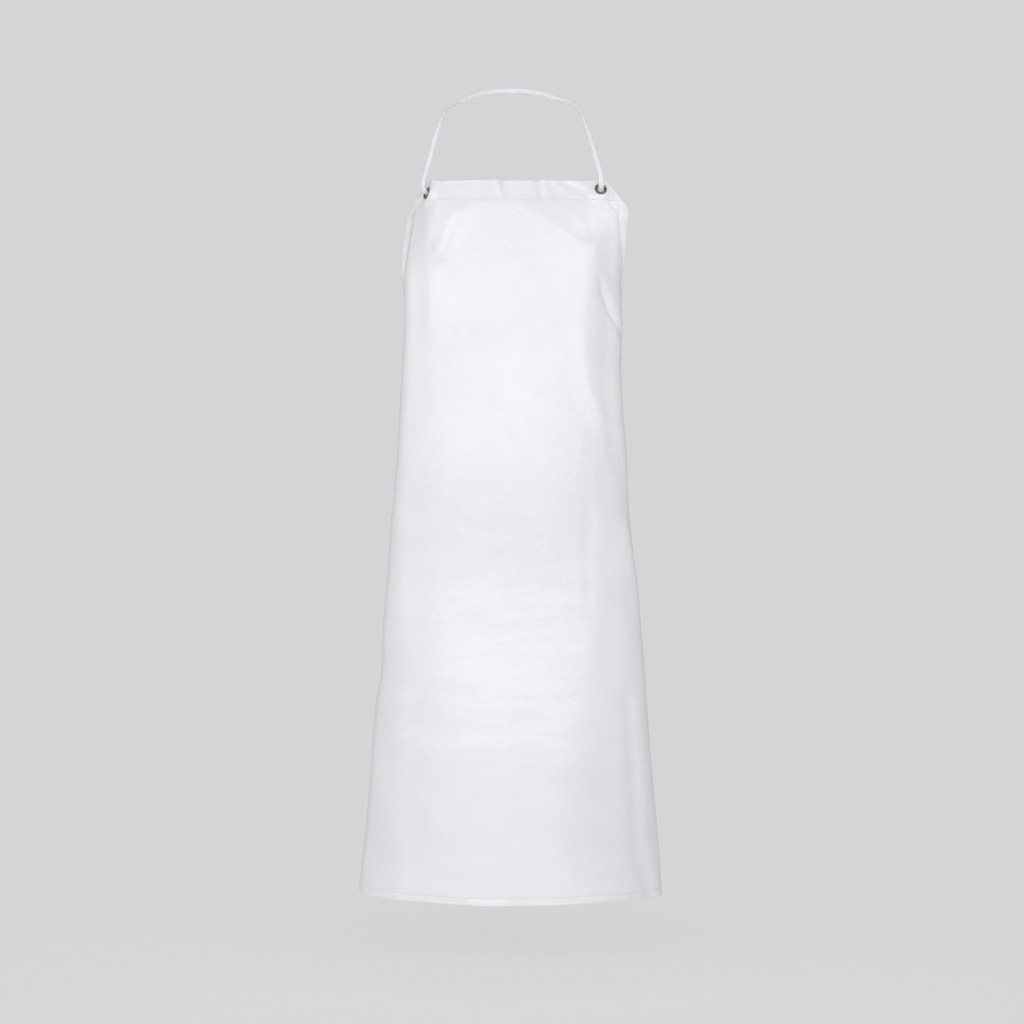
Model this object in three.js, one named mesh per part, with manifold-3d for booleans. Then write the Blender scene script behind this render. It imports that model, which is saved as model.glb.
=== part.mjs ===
// Butcher apron: a bib apron of white coated cloth, as worn, hung by a braided neck cord that is
// knotted behind two eyelets in the bib. Millimetres, +Z up, the front towards -Y.
// Left and right are as seen from the front: left is -X, right is +X.
// The origin is where the neck cord bears on the nape of the wearer's neck.
//
// The cloth is laid out flat first: "across" is measured sideways from its centre line and "drop"
// down from its top edge. clothPoint then says where each point of the flat cloth lies when worn.

import * as THREE from 'three';
import { mergeVertices } from 'three/addons/utils/BufferGeometryUtils.js';
import Module from 'manifold-3d';

const wasm = await Module();
wasm.setup();

// ---- The flat cloth
const APRON_LENGTH = 1200;
const APRON_WIDTH = 660;
const BIB_TOP_WIDTH = 320;
const BIB_SHOULDER_WIDTH = 390; // below the two cut-off top corners
const BIB_SHOULDER_DROP = 43;
const WAIST_DROP = 310; // where the armhole curve meets the straight side
const ARMHOLE_POWER = 2.5; // 1 is a straight armhole edge, more is a deeper curve
const CLOTH_THICKNESS = 1;

// ---- Hems: the edge is folded twice to the back and sewn down
const TOP_HEM_DEPTH = 34;
const LOWER_HEM_DEPTH = 13;
const SIDE_HEM_DEPTH = 16;
const HEM_FOLD_THICKNESS = 1.4;
const STITCH_INSET = 2; // from a hem's inner edge to its line of stitches
const STITCH_WIDTH = 1;
const STITCH_HEIGHT = 0.5;
const LAYER_GAP = 0.3;
const HEM_END_GAP = 0.5;

// ---- How the worn cloth lies
const TOP_EDGE_FALL = 167; // from the origin down to the top edge
const SIDE_BEND = 48; // length of cloth over which the front turns into the side
const LEFT_CURL = 43; // degrees that the top left corner turns back more than the right one
const LEFT_CURL_RUN = 23; // length of cloth over which it turns
const LEFT_CURL_BEFORE_EYELET = 8; // from the end of that to the eyelet's centre
const LEFT_CURL_DROP = 175; // the curl has faded out at this drop
const LEFT_CORNER_SAG = 7;
const LEFT_SAG_DROP = 90;
// depth: Y of the centre line; front: length of cloth from the centre line to the side bend;
// frontTurn and sideTurn: degrees that the cloth has turned back at the end of each.
const LIE = [
  { drop: 0, depth: -126, front: 128, frontTurn: 6, sideTurn: 12 },
  { drop: 60, depth: -131, front: 146, frontTurn: 10, sideTurn: 24 },
  { drop: 190, depth: -141, front: 163, frontTurn: 27, sideTurn: 86 },
  { drop: 410, depth: -156, front: 186, frontTurn: 38, sideTurn: 96 },
  { drop: 640, depth: -154, front: 211, frontTurn: 45, sideTurn: 92 },
  { drop: 920, depth: -166, front: 247, frontTurn: 51, sideTurn: 88 },
  { drop: APRON_LENGTH, depth: -162, front: 288, frontTurn: 57, sideTurn: 84 },
];

// ---- Eyelets, all four alike; a cord passes through each with clearance
const CORD_DIAMETER = 7.6;
const CORD_CLEARANCE = 4.4;
const EYELET_WALL = 0.6;
const FLANGE_REACH = 3.7; // how far the front flange stands out from the barrel
const FLANGE_HEIGHT = 1.6;
const ROLL_REACH = 1.6; // how far the rolled end stands out from the barrel, behind the washer
const WASHER_THICKNESS = 0.8;
const EYELET_SEAT_GAP = 0.7; // in front of the cloth and behind it, more where it is less flat
const BIB_EYELET_INSET = 12; // from the end of the top edge
const BIB_EYELET_DROP = 14;
const WAIST_EYELET_MARGIN = 1.7; // from the side hem to the flange
const WAIST_EYELET_BELOW_CORNER = 30;

// ---- Neck cord
const KNOT_OVER_BORE = 7; // how much wider the knot is than the bore that stops it
// Its route from knot to knot: out through the left eyelet, up the left side of the neck, round the
// nape, down the right side and in through the right eyelet.
const CORD_ROUTE = [
  [-136.5, -100.6, -189],
  [-141.6, -104.5, -186],
  [-145.2, -107.4, -183.4],
  [-148, -109.6, -178.7],
  [-148.5, -110.3, -171],
  [-144.8, -108.5, -155],
  [-138.8, -104.5, -133],
  [-131.8, -97.5, -105],
  [-124.5, -88, -77.5],
  [-116.8, -76, -54],
  [-108.6, -63, -37.5],
  [-98, -50, -27.5],
  [-83, -36, -18.8],
  [-66, -24, -10.6],
  [-47, -12.5, -3.2],
  [-24, -3.2, 1.7],
  [0, 1.6, 3.4],
  [24, -3.2, 1.7],
  [48, -12.5, -4],
  [69, -24, -12],
  [87, -36, -20.2],
  [102.5, -50, -27.6],
  [113, -63, -38],
  [121.3, -78, -59],
  [129, -94, -85],
  [136, -108, -111],
  [140.6, -116, -131],
  [146, -122.5, -150],
  [148.3, -126.7, -166],
  [148.6, -125.5, -173.4],
  [148.3, -121.9, -178.2],
  [147.5, -117.3, -180.7],
  [146.6, -110.8, -183.6],
];

// ---- Fineness of the facets
const CLOTH_COLUMNS = 24;
const BIB_ROW = 30;
const SKIRT_ROW = 38;
const ROUND_SEGMENTS = 24;
const CORD_STEPS = 78;
const CORD_SIDES = 8;

const { degToRad, smoothstep } = THREE.MathUtils;

const boreRadius = (CORD_DIAMETER + CORD_CLEARANCE) / 2;
const barrelRadius = boreRadius + EYELET_WALL;
const flangeRadius = barrelRadius + FLANGE_REACH;
const bibEyeletAcross = BIB_TOP_WIDTH / 2 - BIB_EYELET_INSET;
const curlEnd = bibEyeletAcross - LEFT_CURL_BEFORE_EYELET;
const curlStart = curlEnd - LEFT_CURL_RUN;

const clothMaterial = () => new THREE.MeshStandardMaterial({ color: 0xeeeff3, roughness: 0.38, metalness: 0 });
const threadMaterial = () => new THREE.MeshStandardMaterial({ color: 0xf4f4f2, roughness: 0.8, metalness: 0 });
const metalMaterial = () => new THREE.MeshStandardMaterial({ color: 0x7d766c, roughness: 0.32, metalness: 1 });
const cordMaterial = () => new THREE.MeshStandardMaterial({ color: 0xf1f1ef, roughness: 0.85, metalness: 0 });

const apron = new THREE.Group();

function addNode(name, geometry, material) {
  const mesh = new THREE.Mesh(geometry, material);
  mesh.name = name;
  apron.add(mesh);
  return mesh;
}

// ---- Outline of the flat cloth

/** Half the width of the flat cloth at a drop: cut corner, armhole curve, then straight side. */
function halfWidth(drop) {
  const top = BIB_TOP_WIDTH / 2;
  const shoulder = BIB_SHOULDER_WIDTH / 2;
  const side = APRON_WIDTH / 2;
  if (drop < BIB_SHOULDER_DROP) return top + (shoulder - top) * (drop / BIB_SHOULDER_DROP);
  const down = Math.min((drop - BIB_SHOULDER_DROP) / (WAIST_DROP - BIB_SHOULDER_DROP), 1);
  return shoulder + (side - shoulder) * down ** ARMHOLE_POWER;
}

/** Sideways reach of a side hem, longer where the edge slopes so that its depth stays the same. */
function hemReach(drop, depth) {
  const window = 15;
  const above = Math.max(drop - window, 0);
  const below = Math.min(drop + window, APRON_LENGTH);
  const slope = (halfWidth(below) - halfWidth(above)) / (below - above);
  return depth * Math.hypot(1, slope);
}

// ---- The worn cloth

/** A value of LIE at a drop, on a smooth curve through its rows. */
function lie(key, drop) {
  const last = LIE.length - 1;
  let i = 0;
  while (i < last - 1 && LIE[i + 1].drop <= drop) i += 1;
  const slope = (k) => {
    const before = LIE[Math.max(k - 1, 0)];
    const after = LIE[Math.min(k + 1, last)];
    return (after[key] - before[key]) / (after.drop - before.drop);
  };
  const length = LIE[i + 1].drop - LIE[i].drop;
  const v = (drop - LIE[i].drop) / length;
  const start = (2 * v ** 3 - 3 * v ** 2 + 1) * LIE[i][key] + (v ** 3 - 2 * v ** 2 + v) * length * slope(i);
  const end = (3 * v ** 2 - 2 * v ** 3) * LIE[i + 1][key] + (v ** 3 - v ** 2) * length * slope(i + 1);
  return start + end;
}

/** Height lost down to a drop: the centre line keeps its length as it leans in and out. */
function fall(drop) {
  const step = 20;
  const count = Math.ceil(drop / step);
  let height = 0;
  for (let i = 0; i < count; i += 1) {
    const from = (drop * i) / count;
    const to = (drop * (i + 1)) / count;
    height += Math.sqrt((to - from) ** 2 - (lie('depth', to) - lie('depth', from)) ** 2);
  }
  return height;
}

/** Where a point of the flat cloth lies when worn, on the front face of the cloth. */
function clothPoint(across, drop) {
  const reach = Math.abs(across);
  const left = across < 0;
  const front = lie('front', drop);
  const frontTurn = lie('frontTurn', drop);
  const sideTurn = lie('sideTurn', drop);
  const curl = left ? LEFT_CURL * (1 - smoothstep(drop, 0, LEFT_CURL_DROP)) : 0;
  const turnAt = (s) => {
    const round = s < front ? (frontTurn * s) / front
      : frontTurn + (sideTurn - frontTurn) * smoothstep(s, front, front + SIDE_BEND);
    return degToRad(round + curl * smoothstep(s, curlStart, curlEnd));
  };
  const count = Math.max(Math.ceil(reach / 4), 1);
  const step = reach / count;
  let x = 0;
  let y = lie('depth', drop);
  for (let i = 0; i < count; i += 1) {
    const turn = turnAt((i + 0.5) * step);
    x += Math.cos(turn) * step;
    y += Math.sin(turn) * step;
  }
  const sag = left ? LEFT_CORNER_SAG * smoothstep(reach, curlStart, BIB_TOP_WIDTH / 2)
    * (1 - smoothstep(drop, 0, LEFT_SAG_DROP)) : 0;
  return new THREE.Vector3(left ? -x : x, y, -TOP_EDGE_FALL - fall(drop) - sag);
}

/** The outward (front) normal of the worn cloth. */
function clothNormal(across, drop) {
  const probe = 1;
  const sideways = clothPoint(across + probe, drop).sub(clothPoint(across - probe, drop));
  const above = Math.max(drop - probe, 0);
  const downwards = clothPoint(across, drop + probe).sub(clothPoint(across, above));
  return downwards.cross(sideways).normalize();
}

// ---- Grid of the cloth: its lines run along every hem edge and every line of stitches

/** Values from one number to another, both included, no further apart than step. */
function spread(from, to, step) {
  const count = Math.max(Math.round((to - from) / step), 1);
  return Array.from({ length: count + 1 }, (_, i) => from + ((to - from) * i) / count);
}

const lowerHemTop = APRON_LENGTH - LOWER_HEM_DEPTH;
const topStitchDrop = TOP_HEM_DEPTH - STITCH_INSET;
const lowerStitchDrop = lowerHemTop + STITCH_INSET;
const rowDrops = [
  0,
  topStitchDrop / 2,
  topStitchDrop,
  TOP_HEM_DEPTH,
  TOP_HEM_DEPTH + HEM_END_GAP,
  ...spread(BIB_SHOULDER_DROP, WAIST_DROP, BIB_ROW),
  ...spread(WAIST_DROP + HEM_END_GAP, lowerHemTop - HEM_END_GAP, SKIRT_ROW),
  lowerHemTop,
  lowerStitchDrop,
  APRON_LENGTH,
];
const rowOf = (drop) => rowDrops.indexOf(drop);

// Columns from left to right: edge, side stitches, hem edge, the open cloth, and the same again.
const EDGE_COLUMNS = 2;
const lastColumn = CLOTH_COLUMNS + 2 * EDGE_COLUMNS;
const stitchColumn = { left: 1, right: lastColumn - 1 };
const hemColumn = { left: EDGE_COLUMNS, right: lastColumn - EDGE_COLUMNS };

function acrossOf(column, drop) {
  const edge = halfWidth(drop);
  const hemEdge = edge - hemReach(drop, SIDE_HEM_DEPTH);
  if (column === 0) return -edge;
  if (column === lastColumn) return edge;
  if (column === stitchColumn.left) return -hemEdge - STITCH_INSET;
  if (column === stitchColumn.right) return hemEdge + STITCH_INSET;
  return hemEdge * ((2 * (column - EDGE_COLUMNS)) / CLOTH_COLUMNS - 1);
}

const grid = rowDrops.map((drop) => Array.from({ length: lastColumn + 1 }, (_, column) => {
  const across = acrossOf(column, drop);
  return { point: clothPoint(across, drop), normal: clothNormal(across, drop) };
}));

/** A point of the grid, moved back from the front face of the cloth (or forward where negative). */
const behind = ({ point, normal }, distance) => point.clone().addScaledVector(normal, -distance);

/** A closed solid between two grids of points: outer faces the front, inner the wearer. */
function solidBetween(outer, inner) {
  const rows = outer.length;
  const columns = outer[0].length;
  const half = rows * columns;
  const faces = [];
  for (let i = 0; i < rows - 1; i += 1) {
    for (let j = 0; j < columns - 1; j += 1) {
      const topLeft = i * columns + j;
      const lowLeft = topLeft + columns;
      faces.push([topLeft, lowLeft, lowLeft + 1], [topLeft, lowLeft + 1, topLeft + 1]);
    }
  }
  const rim = new Map();
  for (const [a, b, c] of faces) {
    for (const [from, to] of [[a, b], [b, c], [c, a]]) {
      if (!rim.delete(`${to},${from}`)) rim.set(`${from},${to}`, [from, to]);
    }
  }
  const back = faces.map(([a, b, c]) => [half + a, half + c, half + b]);
  const edges = [...rim.values()].flatMap(([a, b]) => [[b, a, half + a], [b, half + a, half + b]]);
  const geometry = new THREE.BufferGeometry();
  const points = [...outer.flat(), ...inner.flat()].flatMap((p) => p.toArray());
  geometry.setAttribute('position', new THREE.Float32BufferAttribute(points, 3));
  geometry.setIndex([...faces, ...back, ...edges].flat());
  return geometry;
}

/** A layer of cloth over part of the grid, between two distances behind the front face. */
function clothLayer(firstRow, endRow, firstColumn, endColumn, near, far) {
  const block = grid.slice(firstRow, endRow + 1).map((row) => row.slice(firstColumn, endColumn + 1));
  const layer = (distance) => block.map((row) => row.map((spot) => behind(spot, distance)));
  return solidBetween(layer(near), layer(far));
}

/** A line of stitches along grid points: a low ridge on the front face, across its own run. */
function stitchLine(spots) {
  const beside = (i, sign, distance) => {
    const before = spots[Math.max(i - 1, 0)].point;
    const after = spots[Math.min(i + 1, spots.length - 1)].point;
    const run = after.clone().sub(before);
    const sideways = run.cross(spots[i].normal).normalize();
    return behind(spots[i], distance).addScaledVector(sideways, sign * STITCH_WIDTH / 2);
  };
  const ridge = (distance) => spots.map((_, i) => [beside(i, 1, distance), beside(i, -1, distance)]);
  return solidBetween(ridge(-LAYER_GAP - STITCH_HEIGHT), ridge(-LAYER_GAP));
}

// ---- Booleans

function toSolid(geometry) {
  const bare = geometry.clone();
  bare.deleteAttribute('normal');
  bare.deleteAttribute('uv');
  const merged = mergeVertices(bare, 1e-4);
  return new wasm.Manifold(new wasm.Mesh({
    numProp: 3,
    vertProperties: new Float32Array(merged.attributes.position.array),
    triVerts: new Uint32Array(merged.index.array),
  }));
}

function toGeometry(solid) {
  const mesh = solid.getMesh();
  const geometry = new THREE.BufferGeometry();
  geometry.setAttribute('position', new THREE.BufferAttribute(mesh.vertProperties, mesh.numProp));
  geometry.setIndex(new THREE.BufferAttribute(mesh.triVerts, 1));
  return geometry;
}

// ---- Eyelets: a flanged barrel pressed through the cloth and rolled over a washer behind it

const bibHemStack = CLOTH_THICKNESS + LAYER_GAP + HEM_FOLD_THICKNESS;
const waistAcross = APRON_WIDTH / 2 - SIDE_HEM_DEPTH - WAIST_EYELET_MARGIN - flangeRadius;
const waistDrop = WAIST_DROP + WAIST_EYELET_BELOW_CORNER;
const eyelets = [
  { name: 'bib_eyelet_left', across: -bibEyeletAcross, drop: BIB_EYELET_DROP, stack: bibHemStack },
  { name: 'bib_eyelet_right', across: bibEyeletAcross, drop: BIB_EYELET_DROP, stack: bibHemStack },
  { name: 'waist_eyelet_left', across: -waistAcross, drop: waistDrop, stack: CLOTH_THICKNESS },
  { name: 'waist_eyelet_right', across: waistAcross, drop: waistDrop, stack: CLOTH_THICKNESS },
];

/** How far the grid's cloth strays, under a flange, from the plane that touches it at the centre. */
function stray({ point, normal }) {
  const under = grid.flat().filter((spot) => spot.point.distanceTo(point) < 1.5 * flangeRadius);
  return Math.max(...under.map((spot) => Math.abs(spot.point.clone().sub(point).dot(normal))));
}

for (const eyelet of eyelets) {
  eyelet.point = clothPoint(eyelet.across, eyelet.drop);
  eyelet.normal = clothNormal(eyelet.across, eyelet.drop);
  // twice, because the hem behind the cloth bends round a tighter curve
  eyelet.seatGap = Math.max(EYELET_SEAT_GAP, 2 * stray(eyelet) + LAYER_GAP);
  // turns the local Y axis to the outward normal of the cloth
  eyelet.turn = new THREE.Quaternion().setFromUnitVectors(new THREE.Vector3(0, 1, 0), eyelet.normal);
}

/** Turned profile of an eyelet; height 0 is the front face of the cloth, the back is below it. */
function eyeletGeometry({ stack, seatGap: seat }) {
  const top = seat + FLANGE_HEIGHT;
  const lip = FLANGE_HEIGHT / 2;
  const rollFront = -(stack + seat + WASHER_THICKNESS + LAYER_GAP);
  const rollBack = rollFront - EYELET_WALL;
  const rollRadius = barrelRadius + ROLL_REACH;
  const profile = [
    [barrelRadius, seat],
    [flangeRadius, seat],
    [flangeRadius, seat + lip],
    [flangeRadius - lip * 0.6, top],
    [boreRadius + lip * 1.4, top],
    [boreRadius + lip * 0.4, top - lip * 0.4],
    [boreRadius, seat],
    [boreRadius, rollBack + EYELET_WALL],
    [boreRadius + EYELET_WALL, rollBack],
    [rollRadius, rollBack],
    [rollRadius, rollFront],
    [barrelRadius, rollFront],
    [barrelRadius, seat],
  ];
  return new THREE.LatheGeometry(profile.map(([r, h]) => new THREE.Vector2(r, h)), ROUND_SEGMENTS);
}

/** The flat washer behind the cloth, in the same local frame. */
function washerGeometry({ stack, seatGap }) {
  const front = -(stack + seatGap);
  const inner = barrelRadius + LAYER_GAP;
  const profile = [
    [inner, front - WASHER_THICKNESS],
    [flangeRadius, front - WASHER_THICKNESS],
    [flangeRadius, front],
    [inner, front],
    [inner, front - WASHER_THICKNESS],
  ];
  return new THREE.LatheGeometry(profile.map(([r, h]) => new THREE.Vector2(r, h)), ROUND_SEGMENTS);
}

function place(mesh, eyelet) {
  mesh.position.copy(eyelet.point);
  mesh.quaternion.copy(eyelet.turn);
}

/** Cuts the round holes of the eyelets that pass through a piece of cloth. */
function withHoles(geometry, through) {
  const depth = 30;
  let solid = toSolid(geometry);
  for (const eyelet of through) {
    const radius = barrelRadius + LAYER_GAP;
    const drill = new THREE.CylinderGeometry(radius, radius, depth, ROUND_SEGMENTS);
    drill.applyQuaternion(eyelet.turn).translate(...eyelet.point.toArray());
    solid = solid.subtract(toSolid(drill));
  }
  return toGeometry(solid);
}

// ---- The cloth and its hems

const lastRow = rowDrops.length - 1;
const foldNear = CLOTH_THICKNESS + LAYER_GAP;
const foldFar = foldNear + HEM_FOLD_THICKNESS;
const topHemEnd = rowOf(TOP_HEM_DEPTH);
const bibHemStart = topHemEnd + 1;
const bibHemEnd = rowOf(WAIST_DROP);
const sideHemStart = bibHemEnd + 1;
const lowerHemStart = rowOf(lowerHemTop);
const sideHemEnd = lowerHemStart - 1;

const panel = clothLayer(0, lastRow, 0, lastColumn, 0, CLOTH_THICKNESS);
addNode('apron_panel', withHoles(panel, eyelets), clothMaterial());

const topHem = clothLayer(0, topHemEnd, 0, lastColumn, foldNear, foldFar);
addNode('top_hem', withHoles(topHem, eyelets.slice(0, 2)), clothMaterial());
const lowerHem = clothLayer(lowerHemStart, lastRow, 0, lastColumn, foldNear, foldFar);
addNode('lower_hem', lowerHem, clothMaterial());

for (const side of ['left', 'right']) {
  const [first, end] = side === 'left' ? [0, hemColumn.left] : [hemColumn.right, lastColumn];
  const armhole = clothLayer(bibHemStart, bibHemEnd, first, end, foldNear, foldFar);
  addNode(`armhole_hem_${side}`, armhole, clothMaterial());
  const straight = clothLayer(sideHemStart, sideHemEnd, first, end, foldNear, foldFar);
  addNode(`side_hem_${side}`, straight, clothMaterial());
}

// ---- Lines of stitches

const insideStitches = grid[0].length - 2;
const rowSpots = (drop) => grid[rowOf(drop)].slice(1, insideStitches + 1);
addNode('top_hem_stitches', stitchLine(rowSpots(topStitchDrop)), threadMaterial());
addNode('lower_hem_stitches', stitchLine(rowSpots(lowerStitchDrop)), threadMaterial());

for (const side of ['left', 'right']) {
  const column = stitchColumn[side];
  const spotsDown = (from, to) => grid.slice(from, to + 1).map((row) => row[column]);
  const armhole = stitchLine(spotsDown(bibHemStart, bibHemEnd));
  addNode(`armhole_stitches_${side}`, armhole, threadMaterial());
  addNode(`side_stitches_${side}`, stitchLine(spotsDown(sideHemStart, sideHemEnd)), threadMaterial());
}

for (const eyelet of eyelets) {
  place(addNode(eyelet.name, eyeletGeometry(eyelet), metalMaterial()), eyelet);
  place(addNode(eyelet.name.replace('eyelet', 'washer'), washerGeometry(eyelet), metalMaterial()), eyelet);
}

// ---- Neck cord and its two knots

const route = CORD_ROUTE.map(([x, y, z]) => new THREE.Vector3(x, y, z));
const cordLine = new THREE.CatmullRomCurve3(route, false, 'centripetal');
cordLine.arcLengthDivisions = 1000;
const cordRadius = CORD_DIAMETER / 2;
const knotRadius = boreRadius + KNOT_OVER_BORE / 2;
const cordCorner = (_, i) => {
  const angle = (2 * Math.PI * i) / CORD_SIDES;
  return new THREE.Vector2(cordRadius * Math.cos(angle), cordRadius * Math.sin(angle));
};
const cordSection = new THREE.Shape(Array.from({ length: CORD_SIDES }, cordCorner));
const cordTube = { steps: CORD_STEPS, extrudePath: cordLine, bevelEnabled: false };
addNode('neck_cord', new THREE.ExtrudeGeometry(cordSection, cordTube), cordMaterial());

/** A knot sits a touch beyond the cord's end, in line with it. */
function addKnot(name, end, beforeEnd) {
  const onwards = end.clone().sub(beforeEnd).normalize();
  const knot = new THREE.SphereGeometry(knotRadius, 16, 10);
  const mesh = addNode(name, knot, cordMaterial());
  mesh.position.copy(end).addScaledVector(onwards, knotRadius + LAYER_GAP);
}

addKnot('neck_cord_knot_left', route[0], route[1]);
addKnot('neck_cord_knot_right', route.at(-1), route.at(-2));

export default apron;
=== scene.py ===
"""Butcher apron of white coated cloth, worn shape, hung by a plaited neck cord through two eyelets.

Lengths in the sections are millimetres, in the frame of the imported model: Z up, the front towards -Y,
left and right as seen from the front, and the origin where the neck cord bears on the nape.
"""

import bpy
import numpy as np
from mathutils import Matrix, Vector


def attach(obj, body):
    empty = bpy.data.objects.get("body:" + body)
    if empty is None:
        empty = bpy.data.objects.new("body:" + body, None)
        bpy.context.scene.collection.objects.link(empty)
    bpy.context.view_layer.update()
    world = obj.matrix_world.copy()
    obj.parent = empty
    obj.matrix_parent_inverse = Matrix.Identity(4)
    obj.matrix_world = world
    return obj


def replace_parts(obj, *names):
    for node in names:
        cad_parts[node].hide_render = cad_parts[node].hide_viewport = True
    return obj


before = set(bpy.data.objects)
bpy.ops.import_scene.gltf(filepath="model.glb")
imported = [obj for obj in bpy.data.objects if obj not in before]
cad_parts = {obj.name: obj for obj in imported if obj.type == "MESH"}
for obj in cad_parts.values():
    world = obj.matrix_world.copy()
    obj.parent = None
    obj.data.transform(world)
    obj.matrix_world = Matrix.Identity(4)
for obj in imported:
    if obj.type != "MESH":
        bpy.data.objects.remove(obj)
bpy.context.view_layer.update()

# ---- Camera: square on to the front of the apron, level with its middle, from a little over four
# metres, with a long lens.

eye = bpy.data.objects.new("eye", bpy.data.cameras.new("eye"))
eye.location = (0.0, -4.166, -0.718)
eye.rotation_euler = (np.pi / 2, 0.0, 0.0)
eye.data.lens = 85.56
eye.data.sensor_width = 36.0
eye.data.clip_start, eye.data.clip_end = 0.1, 60.0
bpy.context.scene.collection.objects.link(eye)
bpy.context.scene.camera = eye

# ---- Neck cord: one flat plait of eight white cotton strands, 9 mm wide and 5 mm thick, 0.63 m long.
# It leaves the left eyelet of the bib, runs up and round the nape, and goes back in at the right
# one. It lies flat on the chest and on the nape, and so turns its edge to the front beside the neck.


class Wire:
    """An output of a shader node; +, -, * and ** between wires and numbers add Math nodes."""

    def __init__(self, finish, socket):
        self.finish = finish
        self.socket = socket

    def maths(self, operation, *rest):
        return self.finish.node("ShaderNodeMath", dict(enumerate((self, *rest))), operation=operation)[0]

    def __add__(self, other):
        return self.maths("ADD", other)

    def __sub__(self, other):
        return self.maths("SUBTRACT", other)

    def __mul__(self, other):
        return self.maths("MULTIPLY", other)

    def __pow__(self, other):
        return self.maths("POWER", other)

    def __rsub__(self, other):
        return self.finish.node("ShaderNodeMath", {0: other, 1: self}, operation="SUBTRACT")[0]

    __radd__ = __add__
    __rmul__ = __mul__

    def rise(self, low, high):
        """0 below low, 1 above high, and smooth between them."""
        spans = {"Value": self, "From Min": low, "From Max": high}
        return self.finish.node("ShaderNodeMapRange", spans, interpolation_type="SMOOTHSTEP")[0]


class Node:
    """A shader node whose outputs are read as wires, by name or number."""

    def __init__(self, finish, node):
        self.finish = finish
        self.node = node

    def __getitem__(self, output):
        return Wire(self.finish, self.node.outputs[output])


class Finish:
    """A material for one finish of the apron, and the maker of its nodes."""

    def __init__(self, name):
        self.material = bpy.data.materials.new(name)
        self.material.use_nodes = True
        self.nodes = self.material.node_tree.nodes
        self.links = self.material.node_tree.links
        self.nodes.clear()

    def node(self, kind, sockets=None, **settings):
        """Adds a node of a kind, with its settings first and then the values or links of its sockets."""
        node = self.nodes.new(kind)
        for key, value in settings.items():
            setattr(node, key, value)
        for key, value in (sockets or {}).items():
            if isinstance(value, Wire):
                self.links.new(value.socket, node.inputs[key])
            else:
                node.inputs[key].default_value = value
        return Node(self, node)

    def place(self):
        """The point of the surface, in metres."""
        return self.node("ShaderNodeTexCoord")["Object"]

    def flat(self):
        """The piece's own flat map: its two coordinates."""
        apart = self.node("ShaderNodeSeparateXYZ", {0: self.node("ShaderNodeUVMap", uv_map="flat")[0]})
        return apart["X"], apart["Y"]

    def noise(self, at, scale, detail=3.0, roughness=0.5, **settings):
        sockets = {"Vector": at, "Scale": scale, "Detail": detail, "Roughness": roughness}
        return self.node("ShaderNodeTexNoise", sockets, **settings)["Fac"]

    def between(self, mask, first, second):
        """The colour that goes from first to second as the mask goes from 0 to 1."""
        return self.node("ShaderNodeMix", {0: mask, 6: first, 7: second}, data_type="RGBA")[2]

    def bump(self, height, distance, strength=1.0, normal=None):
        sockets = {"Height": height, "Distance": distance, "Strength": strength}
        if normal is not None:
            sockets["Normal"] = normal
        return self.node("ShaderNodeBump", sockets)["Normal"]

    def surface(self, **sockets):
        """The finished surface: a Principled shader with these sockets, on the material's output."""
        named = {key.replace("_", " "): value for key, value in sockets.items()}
        shader = self.node("ShaderNodeBsdfPrincipled", named)
        self.node("ShaderNodeOutputMaterial", {"Surface": shader[0]})
        return self.material


def unit(vectors):
    """The same directions, each one long."""
    return vectors / np.linalg.norm(vectors, axis=-1, keepdims=True)


def smooth(value, low, high):
    """0 below low, 1 above high, and 3t^2 - 2t^3 between them."""
    t = np.clip((value - low) / (high - low), 0.0, 1.0)
    return t * t * (3.0 - 2.0 * t)


def quads_of(numbers):
    """The four corners of each cell of a grid of numbers, or of anything else on a grid."""
    corners = (numbers[:-1, :-1], numbers[1:, :-1], numbers[1:, 1:], numbers[:-1, 1:])
    return np.stack(corners, axis=2).reshape(-1, 4, *numbers.shape[2:])


def outward(points, quads):
    """True if the quads of a closed shell face outwards: the volume inside them is above 0."""
    a, b, c, d = (points[quads[:, k]] for k in range(4))
    middle = (a + b + c + d) / 4 - points.mean(axis=0)
    return np.einsum("ij,ij->", middle, np.cross(c - a, d - b)) > 0


def add_piece(name, points, quads, material, flat=None, caps=(), marks=None, parts=None, more=()):
    """Makes the mesh of a piece from points in millimetres and the corner numbers of its quads, with
    end caps, flat map, marks kept on the points, and the material number of each quad."""
    points = np.asarray(points, dtype=float).reshape(-1, 3)
    caps = [list(cap) for cap in caps]
    if not outward(points, quads):
        quads = quads[:, ::-1]
        flat = None if flat is None else flat[:, ::-1]
        caps = [cap[::-1] for cap in caps]
    mesh = bpy.data.meshes.new(name)
    mesh.from_pydata((points / 1000).tolist(), [], quads.tolist() + caps)
    mesh.polygons.foreach_set("use_smooth", np.ones(len(mesh.polygons), dtype=bool))
    for extra in (material, *more):
        mesh.materials.append(extra)
    if parts is not None:
        numbers = np.zeros(len(mesh.polygons), dtype=np.int32)
        numbers[: len(parts)] = parts
        mesh.polygons.foreach_set("material_index", numbers)
    if flat is not None:
        around = np.zeros((len(mesh.loops), 2))
        around[: flat.shape[0] * 4] = flat.reshape(-1, 2)
        mesh.uv_layers.new(name="flat").data.foreach_set("uv", around.ravel())
    for mark, values in (marks or {}).items():
        attribute = mesh.attributes.new(mark, "FLOAT", "POINT")
        attribute.data.foreach_set("value", np.asarray(values, dtype=np.float32).ravel())
    mesh.update()
    piece = bpy.data.objects.new(name, mesh)
    bpy.context.scene.collection.objects.link(piece)
    return piece


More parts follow.
